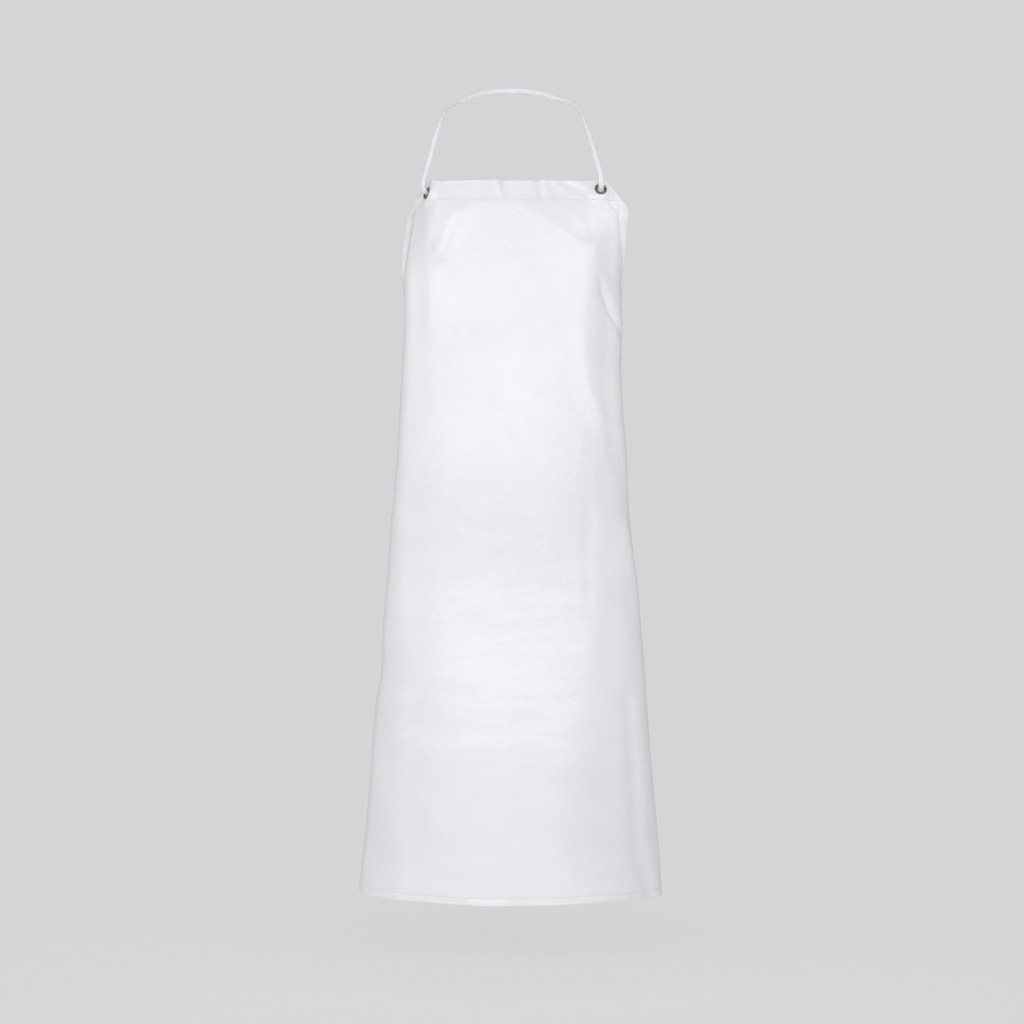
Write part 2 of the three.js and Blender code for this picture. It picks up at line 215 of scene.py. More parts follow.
def through(points, steps=24):
    """Centripetal Catmull-Rom curve: on each span the cubic whose end slopes come from its four
    neighbours, weighed by the square roots of the distances between them."""
    p = np.vstack([2 * points[0] - points[1], points, 2 * points[-1] - points[-2]])
    gap = np.sqrt(np.linalg.norm(np.diff(p, axis=0), axis=1))[:, None]
    a, b, c = gap[:-2], gap[1:-1], gap[2:]
    p0, p1, p2, p3 = p[:-3], p[1:-2], p[2:-1], p[3:]
    m1 = ((p1 - p0) / a - (p2 - p0) / (a + b) + (p2 - p1) / b) * b
    m2 = ((p2 - p1) / b - (p3 - p1) / (b + c) + (p3 - p2) / c) * b
    t = np.linspace(0, 1, steps, endpoint=False)[None, :, None]
    spans = (2 * t**3 - 3 * t**2 + 1) * p1[:, None] + (t**3 - 2 * t**2 + t) * m1[:, None]
    spans = spans + (3 * t**2 - 2 * t**3) * p2[:, None] + (t**3 - t**2) * m2[:, None]
    return np.vstack([spans.reshape(-1, 3), points[-1]])


def evenly(line, count):
    """count points along a line, the same length apart, and how far along each one is."""
    along = np.concatenate([[0.0], np.cumsum(np.linalg.norm(np.diff(line, axis=0), axis=1))])
    at = np.linspace(0.0, along[-1], count)
    return np.stack([np.interp(at, along, line[:, k]) for k in range(3)], axis=1), at


CORD_ROUTE = np.array([
    (-136.5, -100.6, -189), (-141.6, -104.5, -186), (-145.2, -107.4, -183.4), (-148, -109.6, -178.7),
    (-148.5, -110.3, -171), (-144.8, -108.5, -155), (-138.8, -104.5, -133), (-131.8, -97.5, -105),
    (-124.5, -88, -77.5), (-116.8, -76, -54), (-108.6, -63, -37.5), (-98, -50, -27.5),
    (-83, -36, -18.8), (-66, -24, -10.6), (-47, -12.5, -3.2), (-24, -3.2, 1.7), (0, 1.6, 3.4),
    (24, -3.2, 1.7), (48, -12.5, -4), (69, -24, -12), (87, -36, -20.2), (102.5, -50, -27.6),
    (113, -63, -38), (121.3, -78, -59), (129, -94, -85), (136, -108, -111), (140.6, -116, -131),
    (146, -122.5, -150), (148.3, -126.7, -166), (148.6, -125.5, -173.4), (148.3, -121.9, -178.2),
    (147.5, -117.3, -180.7), (146.6, -110.8, -183.6),
])  # fmt: skip
CORD_WIDTH, CORD_THICKNESS = 9.0, 5.0
CORD_RINGS, CORD_SIDES = 760, 32
PLAIT_PITCH = 7.6  # length of cord in which a strand comes back on top
PLAIT_STRANDS = 8
YARNS_PER_STRAND = 7
PLAIT_DEPTH = 1.1
PLAIT_LEVEL = 0.62  # share of the depth at which the ellipse of the section lies


def plait(along, around):
    """Height of a plait, 0 to 1: two families of strands cross on the slant, and in each cell of
    their lattice the one on top is a pad, round across the strand and tucked in at both its ends."""
    p = along + around * PLAIT_STRANDS / 2
    q = along - around * PLAIT_STRANDS / 2
    swap = (np.floor(p) + np.floor(q)) % 2 > 0.5
    run, side = np.where(swap, q, p) % 1.0, np.where(swap, p, q) % 1.0
    return np.sqrt(np.clip(1 - (2 * side - 1) ** 2, 0, 1)) ** 0.8 * (0.45 + 0.55 * np.sin(np.pi * run))


def plaited(line, at, broad, sides, width, thickness):
    """A flat plait along a line: an ellipse carried along it, its long axis towards broad, and
    swelled by the height of the plait."""
    run = unit(np.gradient(line, axis=0))
    broad = unit(broad - run * np.sum(broad * run, axis=1, keepdims=True))
    high = np.cross(run, broad)
    turn = np.arange(sides) / sides
    ring = 2 * np.pi * turn
    lift = plait(at[:, None] / PLAIT_PITCH, turn[None, :])
    swell = (lift - PLAIT_LEVEL) * PLAIT_DEPTH
    x = (width / 2 + swell) * np.cos(ring)
    y = (thickness / 2 + swell) * np.sin(ring)
    points = line[:, None] + x[..., None] * broad[:, None] + y[..., None] * high[:, None]
    numbers = np.arange(points.shape[0] * sides).reshape(-1, sides)
    wrapped = np.hstack([numbers, numbers[:, :1]])
    once_round = np.arange(sides + 1)[None, :] / sides
    flat = np.stack(np.broadcast_arrays(once_round, at[:, None] / PLAIT_PITCH), -1)
    return points, quads_of(wrapped), quads_of(flat), (numbers[0], numbers[-1][::-1]), lift


cotton = Finish("cotton_plait")
around, along = cotton.flat()
slant_p = along + around * (PLAIT_STRANDS / 2)
slant_q = along - around * (PLAIT_STRANDS / 2)
odd = (slant_p.maths("FLOOR") + slant_q.maths("FLOOR")).maths("FLOORED_MODULO", 2.0)
side = slant_q * (1 - odd) + slant_p * odd
yarns = (side * (2 * np.pi * YARNS_PER_STRAND)).maths("SINE")
fibres = cotton.noise(cotton.place(), 2600.0, 2.0)
soil = cotton.noise(cotton.place(), 45.0, 3.0)
# painted shade: the plait's base colour turns grey in the hollows between its strands, where shade falls
hollow = 1 - cotton.node("ShaderNodeAttribute", attribute_name="lift")["Fac"].rise(0.05, 0.6)
cotton_white = cotton.between(soil, (0.93, 0.925, 0.965, 1), (0.97, 0.965, 0.99, 1))
cotton_finish = cotton.surface(
    Base_Color=cotton.between(hollow * 0.45, cotton_white, (0.6, 0.59, 0.64, 1)),
    Roughness=0.8 + fibres * 0.15,
    Sheen_Weight=0.25,
    Sheen_Roughness=0.5,
    Normal=cotton.bump(yarns * 0.5 + fibres * 0.8, 0.00022, 0.8),
)

cord_line, cord_at = evenly(through(CORD_ROUTE), CORD_RINGS)
cord_length = float(cord_at[-1])
broad_keys = np.array([  # share of the cord's length, and the direction of its broad side there
    (0.00, 0.617, -0.785, 0.0), (0.05, 0.8, -0.6, 0.0), (0.12, 1.0, -0.1, 0.05), (0.19, 0.97, -0.2, 0.1),
    (0.225, 0.6, -0.7, 0.3), (0.255, 0.1, -0.95, 0.3), (0.29, 0.0, -0.9, 0.45), (0.34, 0.0, -0.55, 0.85),
    (0.40, 0.0, -0.1, 1.0), (0.5, 0.0, 0.1, 1.0), (0.60, 0.0, -0.1, 1.0), (0.66, 0.0, -0.55, 0.85),
    (0.705, 0.0, -0.9, 0.45), (0.74, -0.1, -0.95, 0.3), (0.77, -0.6, -0.7, 0.3), (0.81, -0.97, -0.2, 0.1),
    (0.88, -1.0, -0.1, 0.05), (0.95, -1.0, -0.15, 0.0), (1.00, -0.988, -0.15, 0.0),
])  # fmt: skip
share = cord_at / cord_length
cord_broad = np.stack([np.interp(share, broad_keys[:, 0], broad_keys[:, k]) for k in (1, 2, 3)], axis=1)
soften_reach = 20
soften = np.hanning(2 * soften_reach + 1)
soften = soften / soften.sum()
padded_broad = np.pad(cord_broad, ((soften_reach, soften_reach), (0, 0)), mode="edge")
cord_broad = np.stack([np.convolve(padded_broad[:, k], soften, "valid") for k in range(3)], axis=1)
points, quads, flat, caps, lift = plaited(
    cord_line, cord_at, cord_broad, CORD_SIDES, CORD_WIDTH, CORD_THICKNESS
)  # fmt: skip
cord = add_piece("plaited_neck_cord", points, quads, cotton_finish, flat, caps, {"lift": lift})
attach(cord, "root")
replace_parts(cord, "neck_cord")

# ---- Stopper knots: each end of the cord is tied in a knot behind the hem, too wide for its
# eyelet, and its cut end hangs out of the knot.

KNOT_REACH = 9.3  # from the middle of a knot to its outside
KNOT_GAP = 0.2
KNOT_WIDTH, KNOT_THICKNESS = 5.6, 5.0  # of the cord where it is pulled tight
KNOT_LINE_REACH = KNOT_REACH - 2.9
KNOT_RINGS, KNOT_SIDES = 220, 20
KNOT_TURNS = 9  # turns of the plait round a knot
TAIL_WIDTH, TAIL_THICKNESS, TAIL_RINGS = 7.0, 4.6, 24


def knot(name, node, end, before):
    """A trefoil: the point (sin t + 2 sin 2t, cos t - 2 cos 2t, -1.375 sin 3t), which reaches 3 out,
    carried by the plait's section, just past the cord's end; a short tail goes on out of it."""
    onwards = unit(end - before)
    across = unit(np.cross(onwards, (0.0, 0.0, 1.0)))
    upwards = np.cross(across, onwards)
    middle = end + onwards * (KNOT_REACH + KNOT_GAP)
    t = np.linspace(0, 2 * np.pi, KNOT_RINGS, endpoint=False)
    figure = [np.sin(t) + 2 * np.sin(2 * t), np.cos(t) - 2 * np.cos(2 * t), -1.375 * np.sin(3 * t)]
    figure = np.stack(figure, axis=1) * (KNOT_LINE_REACH / 3)
    closed = np.vstack([figure, figure[:1]])
    line = middle + closed[:, :1] * across + closed[:, 1:2] * upwards + closed[:, 2:] * onwards
    at = np.linspace(0, PLAIT_PITCH * KNOT_TURNS, KNOT_RINGS + 1)
    broad = line - middle + onwards * 2.0
    points, _, flat, _, lift = plaited(line, at, broad, KNOT_SIDES, KNOT_WIDTH, KNOT_THICKNESS)
    numbers = np.arange(KNOT_RINGS * KNOT_SIDES).reshape(KNOT_RINGS, KNOT_SIDES)
    numbers = np.vstack([numbers, numbers[:1]])
    quads = quads_of(np.hstack([numbers, numbers[:, :1]]))
    points, lift = points[:-1].reshape(-1, 3), lift[:-1].ravel()
    tail_route = middle + np.array([
        onwards * 1.0 + across * 3.0, onwards * 6.5 + across * 4.5 - upwards * 2.0,
        onwards * 9.0 + across * 5.5 - upwards * 7.0, onwards * 9.0 + across * 5.8 - upwards * 13.0,
    ])  # fmt: skip
    tail_line, tail_at = evenly(through(tail_route), TAIL_RINGS)
    tail_broad = np.tile(across, (TAIL_RINGS, 1))
    tail = plaited(tail_line, tail_at, tail_broad, KNOT_SIDES, TAIL_WIDTH, TAIL_THICKNESS)
    caps = [cap + len(points) for cap in tail[3]]
    quads = np.vstack([quads, tail[1] + len(points)])
    flat = np.vstack([flat, tail[2]])
    lift = np.concatenate([lift, tail[4].ravel()])
    points = np.vstack([points, tail[0].reshape(-1, 3)])
    piece = add_piece(name, points, quads, cotton_finish, flat, caps, {"lift": lift})
    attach(piece, "root")
    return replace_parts(piece, node)


knots = [
    knot("stopper_knot_left", "neck_cord_knot_left", CORD_ROUTE[0], CORD_ROUTE[1]),
    knot("stopper_knot_right", "neck_cord_knot_right", CORD_ROUTE[-1], CORD_ROUTE[-2]),
]

# ---- Apron panel: one sheet of white PVC-coated cloth, 660 by 1200 mm before it was cut out at the
# bib. The coating is on the front and the woven backing shows behind. It lies as on a wearer: round
# the chest, back at the sides, and free in the skirt, with the creases of a stiff coating.

APRON_LENGTH, APRON_WIDTH = 1200.0, 660.0
BIB_TOP, SHOULDER, SHOULDER_DROP = 160.0, 195.0, 43.0
WAIST_DROP, ARMHOLE_POWER = 310.0, 2.5
PANEL_THICKNESS = 0.8
TOP_HEM, LOWER_HEM, SIDE_HEM, STITCH_INSET = 34.0, 13.0, 16.0, 2.0
# the smooth worn shape: drop; depth of the centre line; half width of the front; turn of the cloth
# at the end of the front, and past the bend at the side, in degrees
LIE = np.array([
    (0, -126, 128, 6, 12), (60, -131, 146, 10, 24), (190, -141, 163, 27, 86), (410, -156, 186, 38, 96),
    (640, -154, 211, 45, 92), (920, -166, 247, 51, 88), (1200, -162, 288, 57, 84),
], dtype=float)  # fmt: skip
SIDE_BEND = 48.0  # length of cloth in the bend at each side
TOP_LEVEL = -167.0
LEFT_CURL, CURL_FROM, CURL_TO, CURL_DROP = 43.0, 117.0, 140.0, 175.0  # the left of the bib turns back
LEFT_SAG, SAG_FROM, SAG_TO, SAG_DROP = 7.0, 117.0, 160.0, 90.0  # and hangs lower
CLOTH_STEPS = 72
EYELETS = {  # across and drop of the centre of each eyelet, and the thickness of cloth that it holds
    "bib_eyelet_left": (-148.0, 14.0, 2.7),
    "bib_eyelet_right": (148.0, 14.0, 2.7),
    "waist_eyelet_left": (-302.0, 340.0, 1.0),
    "waist_eyelet_right": (302.0, 340.0, 1.0),
}


def half_width(drop):
    """Half the flat cloth's width: straight out along the cut corner, then a power curve down the
    armhole, then the straight side."""
    corner = BIB_TOP + (SHOULDER - BIB_TOP) * np.clip(drop, 0, None) / SHOULDER_DROP
    down = np.clip((drop - SHOULDER_DROP) / (WAIST_DROP - SHOULDER_DROP), 0, 1)
    armhole = SHOULDER + (APRON_WIDTH / 2 - SHOULDER) * down**ARMHOLE_POWER
    return np.where(drop < SHOULDER_DROP, corner, armhole)


def edge_stretch(drop):
    """Sideways length of one millimetre square to the edge: the hypotenuse of 1 and its slope."""
    above, below = np.clip(drop - 15, 0, None), np.clip(drop + 15, None, APRON_LENGTH)
    return np.hypot(1, (half_width(below) - half_width(above)) / (below - above))


def lie(drop):
    """The values of LIE at a drop, by a cubic through its rows with their average slopes."""
    rows, values = LIE[:, 0], LIE[:, 1:]
    i = np.clip(np.searchsorted(rows, drop, side="right") - 1, 0, len(rows) - 2)
    before = np.maximum(np.arange(len(rows)) - 1, 0)
    after = np.minimum(np.arange(len(rows)) + 1, len(rows) - 1)
    slope = (values[after] - values[before]) / (rows[after] - rows[before])[:, None]
    length = (rows[i + 1] - rows[i])[..., None]
    v = (drop - rows[i])[..., None] / length
    start = (2 * v**3 - 3 * v**2 + 1) * values[i] + (v**3 - 2 * v**2 + v) * length * slope[i]
    end = (3 * v**2 - 2 * v**3) * values[i + 1] + (v**3 - v**2) * length * slope[i + 1]
    return np.moveaxis(start + end, -1, 0)


fall_at = np.linspace(0, APRON_LENGTH, 1201)
fall_step = np.sqrt(np.diff(fall_at) ** 2 - np.diff(lie(fall_at)[0]) ** 2)
fall_table = np.concatenate([[0.0], np.cumsum(fall_step)])


def cloth(across, drop):
    """Where a point of the flat cloth lies when worn: level with its row, it is the sum of small
    steps that turn back more and more from the centre line to the side."""
    depth, front, front_turn, side_turn = lie(drop)
    left = across < 0
    reach = np.abs(across)
    curl = np.where(left, LEFT_CURL * (1 - smooth(drop, 0, CURL_DROP)), 0.0)
    x, y = np.zeros_like(reach), np.zeros_like(reach)
    for k in range(CLOTH_STEPS):
        s = reach * (k + 0.5) / CLOTH_STEPS
        side = front_turn + (side_turn - front_turn) * smooth(s, front, front + SIDE_BEND)
        turn = np.where(s < front, front_turn * s / front, side)
        turn = np.radians(turn + curl * smooth(s, CURL_FROM, CURL_TO))
        x, y = x + np.cos(turn), y + np.sin(turn)
    x, y = x * reach / CLOTH_STEPS, y * reach / CLOTH_STEPS
    sag = LEFT_SAG * smooth(reach, SAG_FROM, SAG_TO) * (1 - smooth(drop, 0, SAG_DROP)) * left
    level = TOP_LEVEL - np.interp(drop, fall_at, fall_table) - sag
    return np.stack([np.where(left, -x, x), depth + y, level], -1)


def square_to(surface, across, drop):
    """The outward direction of a surface of the cloth: down it, crossed with sideways along it."""
    sideways = surface(across + 1, drop) - surface(across - 1, drop)
    low = np.clip(drop + 1, None, APRON_LENGTH)
    high = np.clip(drop - 1, 0, None)
    return unit(np.cross(surface(across, low) - surface(across, high), sideways))


HEM_FOLDS = [  # creases of the top hem, deepest at its edge and gone at its seam
    (1.2, 7, [(-129, 0), (-114, 38)]),
    (-2.8, 6, [(-116, 0), (-111, 16), (-100, 42)]),
    (2.8, 24, [(-56, 0), (-50, 40)]),
    (5.4, 5, [(-26, 0), (-21, 17), (-14, 40)]),
    (-2.2, 5, [(-12, 0), (-8, 20), (-5, 44)]),
    (1.0, 8, [(4, 0), (9, 17), (15, 34)]),
    (-3.8, 4, [(41, 0), (43, 18), (50, 34), (57, 42)]),
    (2.8, 7, [(52, 0), (57, 17), (66, 36)]),
    (-1.2, 6, [(80, 0), (100, 14), (128, 26)]),
    (1.6, 6, [(67, 0), (88, 14), (116, 29)]),
    (1.4, 5, [(98, 0), (118, 8), (136, 13)]),
]
FOLDS = [  # height, half width, and the line on the flat cloth, across and drop, of each fold
    (-1.2, 4, [(157, 24), (169, 42), (181, 54)]),
    (-0.8, 7, [(-140, 34), (-130, 60), (-124, 96)]),
    (0.7, 9, [(112, 62), (124, 84), (130, 104)]),
    (5.2, 14, [(-92, 54), (-102, 72), (-112, 98), (-120, 122)]),
    (1.6, 14, [(-124, 146), (-132, 190), (-138, 240)]),
    (2.5, 14, [(122, 110), (121, 150), (118, 220), (119, 280), (125, 330), (137, 362), (151, 396)]),
    (-2.6, 5, [(149, 166), (155, 190), (165, 210), (180, 232), (200, 252), (228, 277)]),
    (1.4, 9, [(158, 158), (168, 186), (182, 210), (202, 236), (226, 262)]),
    (1.1, 16, [
        (138, 300), (146, 332), (154, 391), (165, 447), (180, 492), (198, 539), (222, 611), (254, 701),
    ]),
    (-1.1, 14, [(162, 330), (172, 391), (184, 447), (200, 492), (220, 545), (246, 620), (278, 700)]),
    (-1.0, 12, [(150, 520), (138, 560), (130, 620), (134, 690)]),
    (0.8, 10, [(142, 470), (146, 500), (150, 560), (160, 610)]),
    (-2.4, 16, [(212, 860), (222, 920), (228, 990), (230, 1060), (236, 1120), (270, 1192)]),
    (1.8, 15, [(240, 880), (252, 950), (258, 1040), (264, 1110), (292, 1188)]),
    (-1.2, 30, [(-120, 1200), (-112, 1080), (-96, 980)]),
    (1.5, 34, [(-52, 1200), (-48, 1080), (-40, 1000)]),
    (-1.0, 28, [(20, 1200), (18, 1090), (12, 1000)]),
    (1.0, 30, [(90, 1200), (82, 1080), (70, 990)]),
    (0.25, 5, [(-20, 98), (2, 108), (26, 104)]),
    (-0.25, 5, [(-24, 110), (0, 119), (34, 114)]),
    (0.22, 5, [(-34, 136), (-12, 128), (8, 134)]),
    (-0.25, 6, [(10, 150), (36, 142), (58, 150)]),
    (0.4, 5, [(22, 254), (30, 270), (44, 282)]),
    (0.5, 7, [(-88, 190), (-84, 230), (-70, 262)]),
    (-0.4, 8, [(-72, 200), (-66, 240), (-52, 270)]),
    (0.5, 9, [(-60, 470), (-56, 540), (-66, 610)]),
    (-0.5, 9, [(-96, 560), (-60, 590), (-20, 580)]),
    (0.6, 8, [(-30, 610), (10, 600), (50, 620)]),
]
# the sharp crease beside the right armhole hem, which folds back past it, and the strip outside it
RIGHT_CREASE = [(178, 50), (184, 80), (192, 112), (203, 142), (216, 170)]
CREASE_DEPTH, CREASE_WIDTH, STRIP_RISE = 1.5, 3.2, 2.0
# how far the body underneath pushes the middle of the front out, by drop: belly, then thighs
PUSH = np.array([
    (0, 0), (440, 0), (500, 0.6), (560, 0), (600, -1.3), (640, -2.7), (680, -3.5), (720, -3.3),
    (800, -1.6), (860, 1.1), (920, 5.6), (944, 7.9), (962, 8.9), (985, 8.8), (1050, 6.6), (1120, 3.8),
    (1200, 1.5),
], dtype=float)  # fmt: skip
# the drop down to which the bib leans back, by across: lowest under the corners
CHEST_TOP = np.array([
    (-160, 100), (-138, 88), (-120, 72), (-103, 58), (-84, 48), (-60, 38), (13, 44), (46, 60), (80, 82),
    (131, 114), (150, 122), (190, 128),
], dtype=float)  # fmt: skip
LEAN = 0.08  # as a slope
LEAN_FROM = 14.0  # the drop of the bib eyelets, which the cord holds where they are
HEM_LEAN, HEM_CREASE_DROP = 2.5, 40.0
# how far the sides of the skirt stand out from the smooth shape, by drop: left and right
LEFT_SIDE = np.array([
    (470, 0), (560, 3.2), (760, 3.0), (806, -0.6), (828, -0.8), (868, 3.6), (930, 4.2), (1000, 1.6),
    (1100, 1.8), (1160, 4.0), (1200, 5.0),
])  # fmt: skip
RIGHT_SIDE = np.array([
    (165, 0), (195, 3.4), (240, 3.2), (290, 0), (330, -2.0), (400, -2.2), (440, 0), (500, -1.0),
    (550, -2.0), (600, 0), (650, 2.4), (730, 3.4), (810, 3.4), (880, 1.0), (1000, 0),
])  # fmt: skip
# how the pull of the neck cord tips its eyelets, as slopes: upwards and outwards
EYELET_TIP = {"bib_eyelet_left": (0.28, 0.24), "bib_eyelet_right": (0.45, 0.0)}
TIP_LIMIT = 4.5
ROLL = 2.6  # of the left armhole hem outwards, and of the hollow beside it
TURN_UP = 3.0  # of the lower hem, left of its middle
SEAM_WIDTH = 2.2


def fold(across, drop, height, width, line):
    """A fold along a line: height times the bell curve of the distance to the line, over width."""
    line = np.array(line, dtype=float)
    near = np.full(across.shape, 1e9)
    for (a0, d0), (a1, d1) in zip(line[:-1], line[1:]):
        run = (a1 - a0) ** 2 + (d1 - d0) ** 2
        t = np.clip(((across - a0) * (a1 - a0) + (drop - d0) * (d1 - d0)) / run, 0, 1)
        near = np.minimum(near, (across - a0 - t * (a1 - a0)) ** 2 + (drop - d0 - t * (d1 - d0)) ** 2)
    return height * np.exp(-near / width**2)


def left_roll(across, drop):
    """1 along the middle of the left armhole and 0 away from it, where its hem rolls outwards."""
    return smooth(drop, 24, 70) * (1 - smooth(drop, 138, 170)) * (across < 0)


def relief(across, drop):
    """How far the creased cloth stands out from the smooth worn shape: the sum of the pushes of the
    body, the folds, the turns of the stiff hems and the dents along the seams."""
    inside = (half_width(drop) - np.abs(across)) / edge_stretch(drop)
    reach, left = np.abs(across), across < 0
    pushed = 1 - smooth(across * np.where(left, -0.93, 1), 60, 190)
    out = np.interp(drop, PUSH[:, 0], PUSH[:, 1]) * pushed
    # the bib leans back down to the chest, and its hem a little more
    chest = np.interp(across, CHEST_TOP[:, 0], CHEST_TOP[:, 1])
    leaning = (1 - smooth(reach, 135, 172)) * (1 - smooth(drop, 120, 420))
    out = out + LEAN * (np.minimum(drop, chest) - LEAN_FROM) * leaning
    hem_share = np.clip(1 - drop / HEM_CREASE_DROP, 0, 1)
    out = out - HEM_LEAN * hem_share * (1 - smooth(reach, 130, 150))
    beside = [np.interp(drop, side[:, 0], side[:, 1]) for side in (LEFT_SIDE, RIGHT_SIDE)]
    out = out + np.where(left, *beside) * smooth(reach, 165, 210)
    for height, width, line in HEM_FOLDS:
        out = out + fold(across, drop, height, width, line) * hem_share
    for height, width, line in FOLDS:
        out = out + fold(across, drop, height, width, line)
    # the stiff armhole hems: the left one rolls outwards past a hollow, the right one folds back
    rolled = smooth(SIDE_HEM - inside, 6, 15) - np.exp(-(((inside - 8.5) / 5.0) ** 2))
    out = out + ROLL * left_roll(across, drop) * rolled
    out = out + 6.0 * np.exp(-(((drop - 25) / 9) ** 2)) * smooth(SIDE_HEM - inside, 0, 14) * left
    out = out - fold(across, drop, CREASE_DEPTH, CREASE_WIDTH, RIGHT_CREASE)
    crease_across, crease_drop = np.array(RIGHT_CREASE).T
    strip = smooth(across - np.interp(drop, crease_drop, crease_across), 0, 8)
    out = out + STRIP_RISE * strip * smooth(drop, 40, 56) * (1 - smooth(drop, 110, 168))
    for name, (a, d, _) in EYELETS.items():
        away = np.hypot(across - a, drop - d)
        upward, outward_turn = EYELET_TIP.get(name, (0.0, 0.0))
        tip = np.clip(upward * (drop - d) - outward_turn * (reach - abs(a)), -TIP_LIMIT, TIP_LIMIT)
        out = out * smooth(away, 9, 24) + tip * (1 - smooth(away, 11, 30))
    # the lower hem turns up a little, left of its middle
    turned_up = smooth(across, -80, -62) * (1 - smooth(across, -16, 0))
    out = out + TURN_UP * turned_up * np.clip((drop - APRON_LENGTH + LOWER_HEM) / LOWER_HEM, 0, 1)
    # the seams draw the cloth in along the stitches
    from_top = (drop - TOP_HEM + STITCH_INSET) / SEAM_WIDTH
    from_lower = (APRON_LENGTH - LOWER_HEM + STITCH_INSET - drop) / SEAM_WIDTH
    from_side = (inside - SIDE_HEM + STITCH_INSET) / SEAM_WIDTH
    out = out - 0.16 * np.exp(-(from_top**2)) - 0.6 * np.exp(-(from_lower**2))
    return out - 0.4 * np.exp(-(from_side**2)) * smooth(drop, 24, 32)


def settle(across, drop):
    """How far the cloth hangs below the smooth worn shape: the corners of the skirt sag, and the bib
    is held up to its left eyelet, where the smooth shape sags sooner."""
    reach, left = np.abs(across), across < 0
    later = 0.81 * smooth(reach, 135, 147) + 0.19 * smooth(reach, 148, 160)
    up = LEFT_SAG * (smooth(reach, SAG_FROM, SAG_TO) - later) * (1 - smooth(drop, 0, SAG_DROP))
    up = up + 4.5 * smooth(reach, 127, 142) * (1 - smooth(drop, 1, 10))
    corner = np.where(left, 2.4 * smooth(reach, 200, 300), 6.0 * smooth(reach, 150, 300))
    return smooth(drop, 900, APRON_LENGTH) * corner - up * left


def worn(across, drop):
    """The front face of the worn cloth: the smooth shape, moved out by its relief and down as it
    settles."""
    points = cloth(across, drop) + square_to(cloth, across, drop) * relief(across, drop)[..., None]
    points[..., 2] -= settle(across, drop)
    return points


rows = np.concatenate([
    np.arange(0, 27, 1.5), np.arange(27, 49, 2), np.linspace(50, 328, 59)[:-1], np.arange(328, 352, 1.5),
    np.linspace(352, 1168, 171)[:-1], np.linspace(1168, 1200, 17),
])  # fmt: skip
edge_columns = np.concatenate([[0, 1, 2.5, 4, 6], np.arange(8, 38.6, 1.5), [42, 46]])
middle_columns = 98
stretch = edge_stretch(rows)[:, None]
edge_across = half_width(rows)[:, None] - edge_columns[None, :] * stretch
middle_share = np.linspace(-1, 1, middle_columns + 2)[1:-1]
panel_across = np.hstack([-edge_across, edge_across[:, -1:] * middle_share, edge_across[:, ::-1]])
panel_drop = np.broadcast_to(rows[:, None], panel_across.shape)
panel_inside = np.hstack([
    np.tile(edge_columns, (len(rows), 1)),
    (half_width(rows)[:, None] - np.abs(edge_across[:, -1:] * middle_share)) / stretch,
    np.tile(edge_columns[::-1], (len(rows), 1)),
])  # fmt: skip

# painted shade, with a warm cast of reflected light, in the hollow beside the left armhole hem
panel_painted_hollow_shade = left_roll(panel_across, panel_drop + 12) * np.exp(-(((panel_inside - 8.0) / 4.5) ** 2))

front = worn(panel_across, panel_drop)
panel_square = unit(np.cross(np.gradient(front, axis=0), np.gradient(front, axis=1)))
back = front - PANEL_THICKNESS * panel_square
numbers = np.arange(front.shape[0] * front.shape[1]).reshape(front.shape[:2])
front_quads = quads_of(numbers)
flat_map = quads_of(np.stack([panel_across, panel_drop], axis=-1) / 1000)
EYELET_HOLE = 7.2  # cells that reach nearer to the centre of an eyelet are left out, under its flange
keep = np.ones(len(front_quads), dtype=bool)
for a, d, _ in EYELETS.values():
    from_centre = np.hypot(panel_across - a, panel_drop - d)
    keep &= quads_of(from_centre).min(axis=1) > EYELET_HOLE
front_quads, flat_map = front_quads[keep], flat_map[keep]
sides = np.concatenate([front_quads[:, [k, (k + 1) % 4]] for k in range(4)])
side_flat = np.concatenate([flat_map[:, [k, (k + 1) % 4]] for k in range(4)])
count = front.shape[0] * front.shape[1]
rim = ~np.isin(sides[:, 0] * count + sides[:, 1], sides[:, 1] * count + sides[:, 0])
rim_quads = np.hstack([sides[rim][:, ::-1], sides[rim] + count])
rim_flat = np.concatenate([side_flat[rim][:, ::-1], side_flat[rim]], axis=1)
panel_quads = np.vstack([front_quads, front_quads[:, ::-1] + count, rim_quads])
panel_flat = np.vstack([flat_map, flat_map[:, ::-1], rim_flat])
panel_parts = np.repeat([0, 1, 0], [len(front_quads), len(front_quads), len(rim_quads)])

WEAVE_PITCH = 0.0011  # metres, as the materials read them
coated = Finish("coated_cloth_front")
at = coated.place()
u, v = coated.flat()
inside_edge = coated.node("ShaderNodeAttribute", attribute_name="inside")["Fac"]
level = coated.node("ShaderNodeVectorMath", {0: at, 1: (1.0, 1.0, 2.6)}, operation="MULTIPLY")[0]
upright = coated.node("ShaderNodeVectorMath", {0: at, 1: (2.6, 2.6, 0.8)}, operation="MULTIPLY")[0]
thighs = v.rise(0.6, 0.72) * (1 - v.rise(0.96, 1.12) * 0.6)
belly = v.rise(0.18, 0.34) * (1 - v.rise(0.56, 0.7))
creases = coated.noise(level, 9.0, 4.0, 0.47) * (thighs * 1.3 + 0.2)
hangs = coated.noise(upright, 8.0, 3.0, 0.5) * (belly * 0.6 + 0.1)
crinkle = coated.noise(at, 75.0, 4.0, 0.55)
blotch = coated.noise(at, 9.0, 4.0, 0.55)
lines = (coated.noise(at, 24.0, 5.0, 0.64) - 0.5).maths("ABSOLUTE").rise(0.0, 0.045)
lined = coated.noise(at, 8.0, 2.0).rise(0.43, 0.58) * (1 - thighs)
threads = (u * (2 * np.pi / WEAVE_PITCH)).maths("SINE") + (v * (2 * np.pi / WEAVE_PITCH)).maths("SINE")
pebble = coated.noise(at, 900.0, 2.0, 0.5)
worn_edge = 1 - inside_edge.rise(0.0, 0.006)
